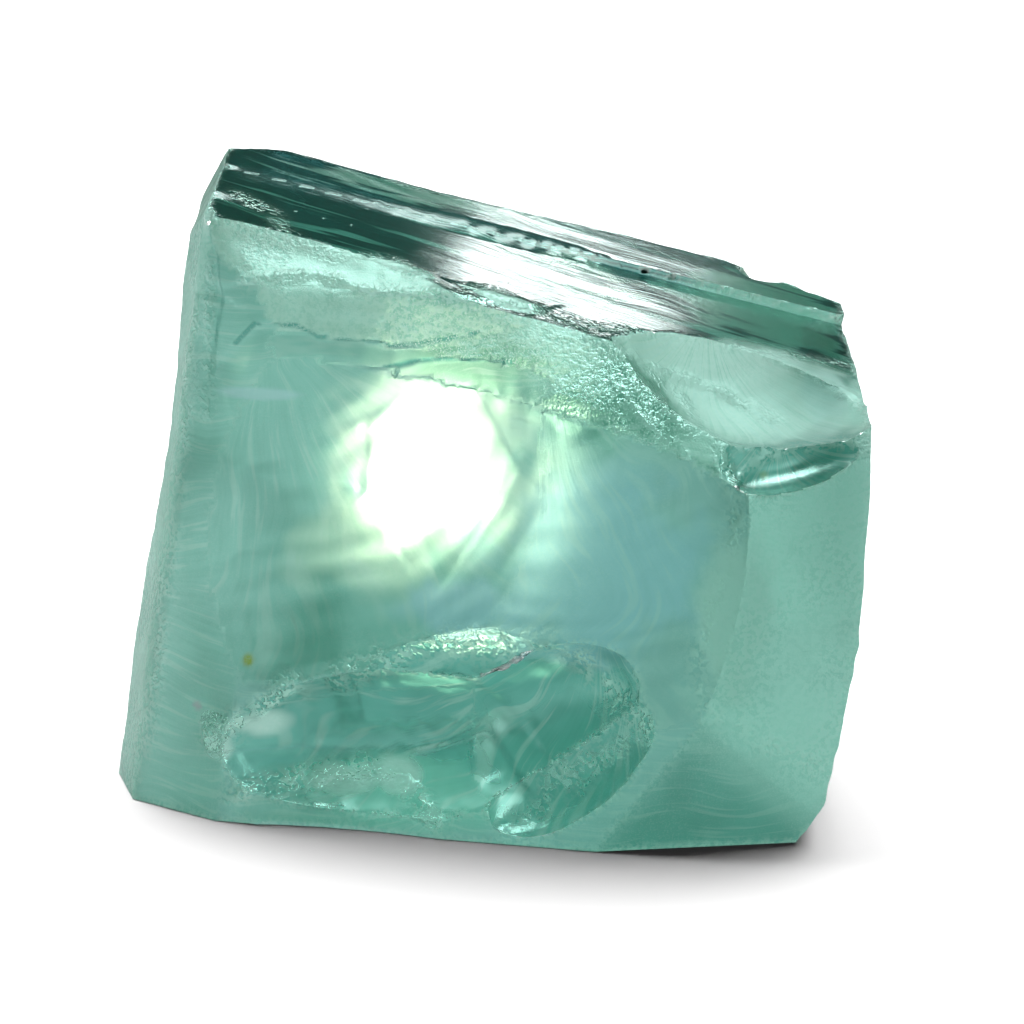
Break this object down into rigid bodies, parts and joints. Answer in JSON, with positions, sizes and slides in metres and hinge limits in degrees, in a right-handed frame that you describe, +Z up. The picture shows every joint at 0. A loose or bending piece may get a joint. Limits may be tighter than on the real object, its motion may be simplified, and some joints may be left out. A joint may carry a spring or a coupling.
{
  "type": "rough aquamarine",
  "caption": "Rough lump of clear blue-green beryl with a striated sloping top, shell-shaped broken hollows on its sides and a flat broken foot that it stands on.",
  "frame": {"origin": "middle of the box round the stone, at the level of its foot", "axes": "+X along the stone, to the right as its struck front is seen; +Y from that front to the back; +Z up"},
  "size_m": [0.0475, 0.0284, 0.0401],
  "materials": {
    "beryl": "clear pale blue-green beryl; glassy breaks with shallow ripples, a striated top, and frosted patches along the edges and on the right face"
  },
  "bodies": {
    "root": {"aquamarine": "beryl"}
  },
  "joints": []
}
